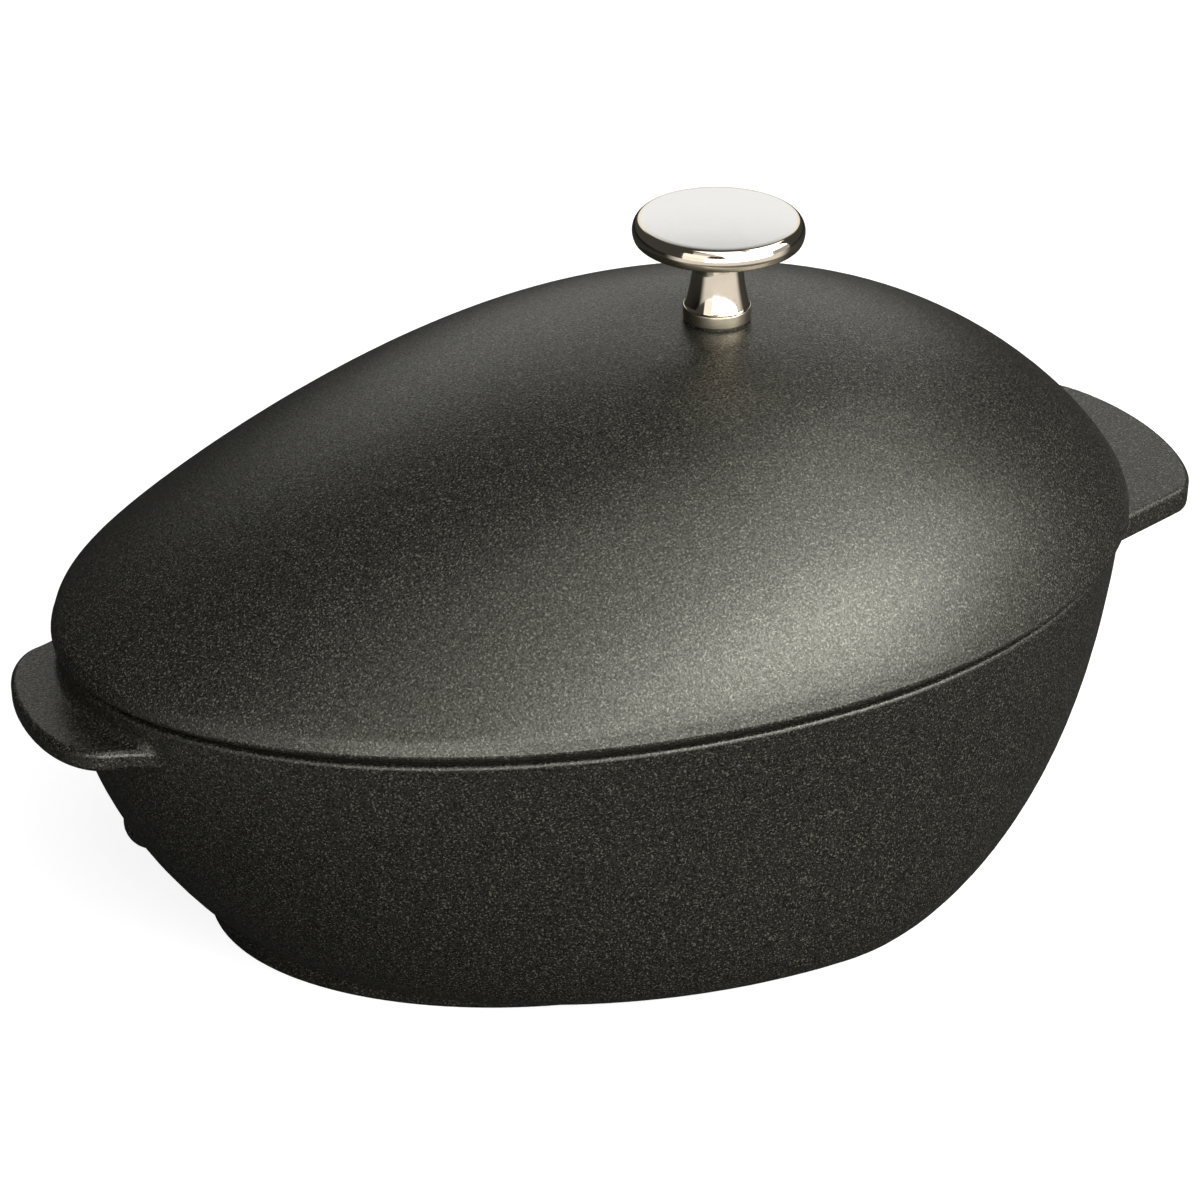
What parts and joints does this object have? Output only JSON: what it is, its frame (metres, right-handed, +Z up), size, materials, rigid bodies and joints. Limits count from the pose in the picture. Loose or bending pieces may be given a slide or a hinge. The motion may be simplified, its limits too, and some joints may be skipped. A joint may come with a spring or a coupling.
{
  "type": "mussel pot",
  "caption": "Egg-shaped enamelled cast-iron mussel pot on a foot, with lug handles at its ends, a tall domed lid with a metal knob, and a lift-out strainer with a loop inside.",
  "frame": {"origin": "on the surface that the foot stands on, under the middle of the overall length over the lugs", "axes": "+X from the narrow end to the wide end, +Z up, XZ the plane of symmetry"},
  "size_m": [0.2855, 0.1762, 0.1504],
  "materials": {
    "enamelled_iron": "matt black enamel with a fine grain",
    "polished_nickel": "polished warm nickel",
    "stainless": "brushed stainless steel"
  },
  "bodies": {
    "pot": {"pot": "enamelled_iron"},
    "lid": {"lid": "enamelled_iron", "knob": "polished_nickel", "knob_washer": "stainless", "knob_screw": "stainless"},
    "strainer": {"strainer": "stainless", "strainer_loop": "stainless"}
  },
  "joints": [
    {"name": "lid_lift", "type": "slide", "parent": "pot", "child": "lid", "axis": [0, 0, 1], "range_m": [0, 0.14]},
    {"name": "strainer_lift", "type": "slide", "parent": "pot", "child": "strainer", "axis": [0, 0, 1], "range_m": [0, 0.05]}
  ]
}
